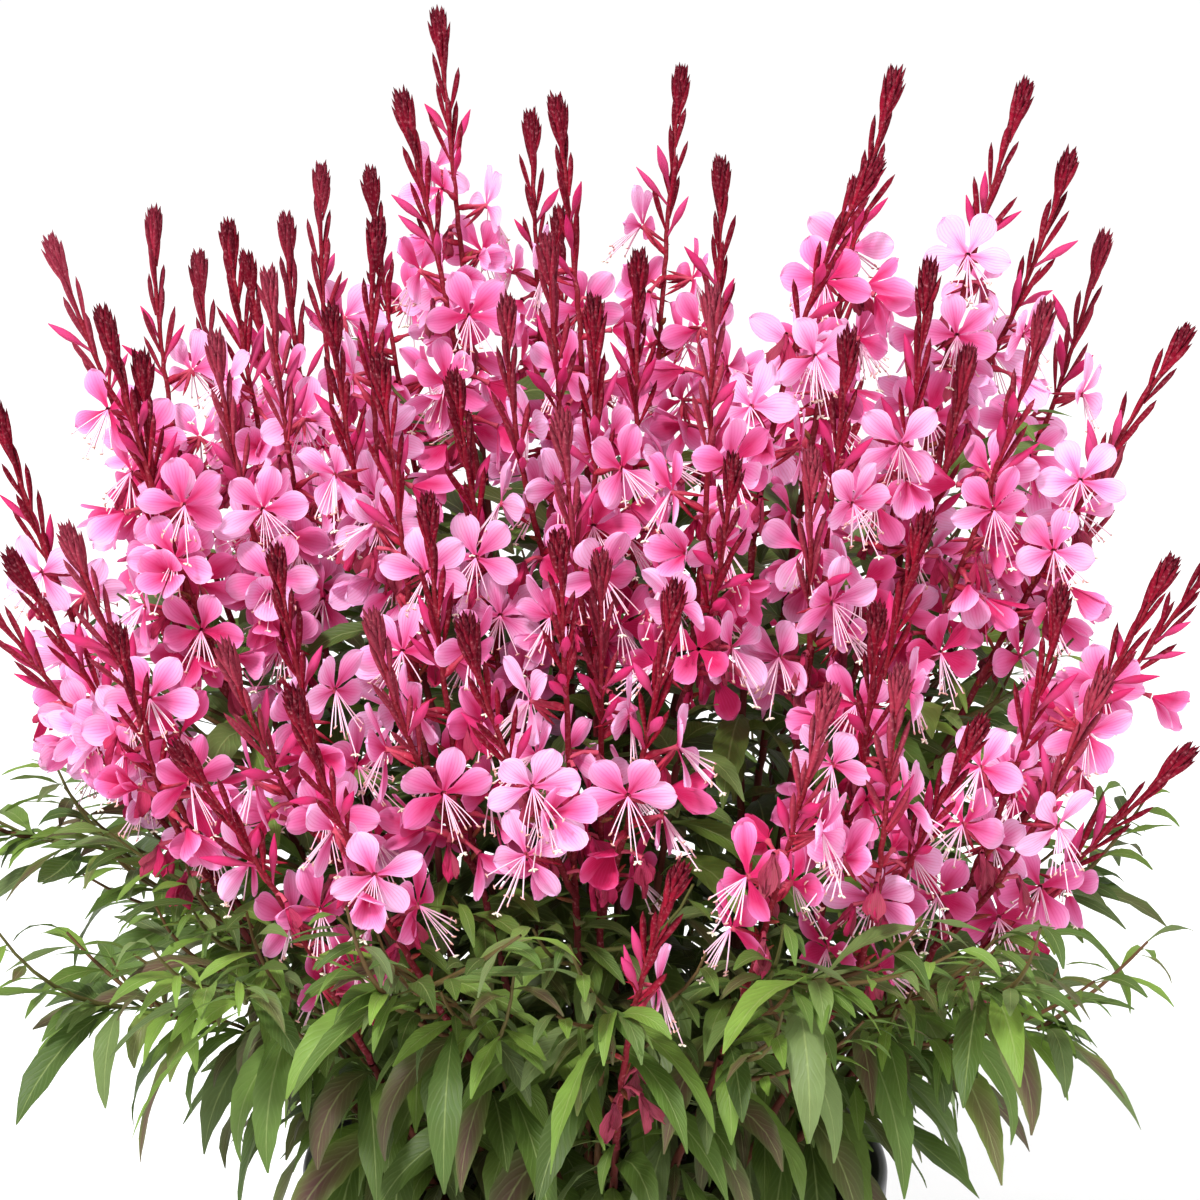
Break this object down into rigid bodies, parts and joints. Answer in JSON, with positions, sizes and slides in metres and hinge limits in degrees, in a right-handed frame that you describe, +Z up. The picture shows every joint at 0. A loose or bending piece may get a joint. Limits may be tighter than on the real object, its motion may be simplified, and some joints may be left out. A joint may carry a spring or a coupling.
{
  "type": "potted gaura",
  "caption": "Bushy gaura in flower: leafy stems fan out of a round pot of soil and carry pink four-petalled blooms under slender dark red bud spikes.",
  "frame": {"origin": "centre of the pot's base, on the surface it stands on", "axes": "+Z up along the pot's axis, -Y to the front of the plant, +X to its right seen from the front"},
  "size_m": [0.4192, 0.3689, 0.546],
  "materials": {
    "pot_plastic": "satin",
    "potting_soil": "matte",
    "foliage": "satin",
    "flowers": "matte"
  },
  "bodies": {
    "root": {"pot": "pot_plastic", "soil": "potting_soil", "leafy_clump_1": "foliage", "leafy_clump_2": "foliage", "leafy_clump_3": "foliage", "leafy_clump_4": "foliage", "leafy_clump_5": "foliage", "leafy_clump_6": "foliage", "leafy_clump_7": "foliage", "spray_01": "flowers", "spray_02": "flowers", "spray_03": "flowers", "spray_04": "flowers", "spray_05": "flowers", "spray_06": "flowers", "spray_07": "flowers", "spray_08": "flowers", "spray_09": "flowers", "spray_10": "flowers", "spray_11": "flowers", "spray_12": "flowers", "spray_13": "flowers", "spray_14": "flowers", "spray_15": "flowers", "spray_16": "flowers", "spray_17": "flowers", "spray_18": "flowers", "spray_19": "flowers", "spray_20": "flowers", "spray_21": "flowers", "spray_22": "flowers", "spray_23": "flowers", "spray_24": "flowers", "spray_25": "flowers", "spray_26": "flowers", "spray_27": "flowers", "spray_28": "flowers", "spray_29": "flowers", "spray_30": "flowers", "spray_31": "flowers", "spray_32": "flowers", "spray_33": "flowers", "spray_34": "flowers", "spray_35": "flowers", "spray_36": "flowers", "spray_37": "flowers", "spray_38": "flowers", "spray_39": "flowers", "spray_40": "flowers", "spray_41": "flowers", "spray_42": "flowers", "spray_43": "flowers", "spray_44": "flowers", "spray_45": "flowers", "spray_46": "flowers", "spray_47": "flowers", "spray_48": "flowers", "spray_49": "flowers", "spray_50": "flowers", "spray_51": "flowers"}
  },
  "joints": []
}
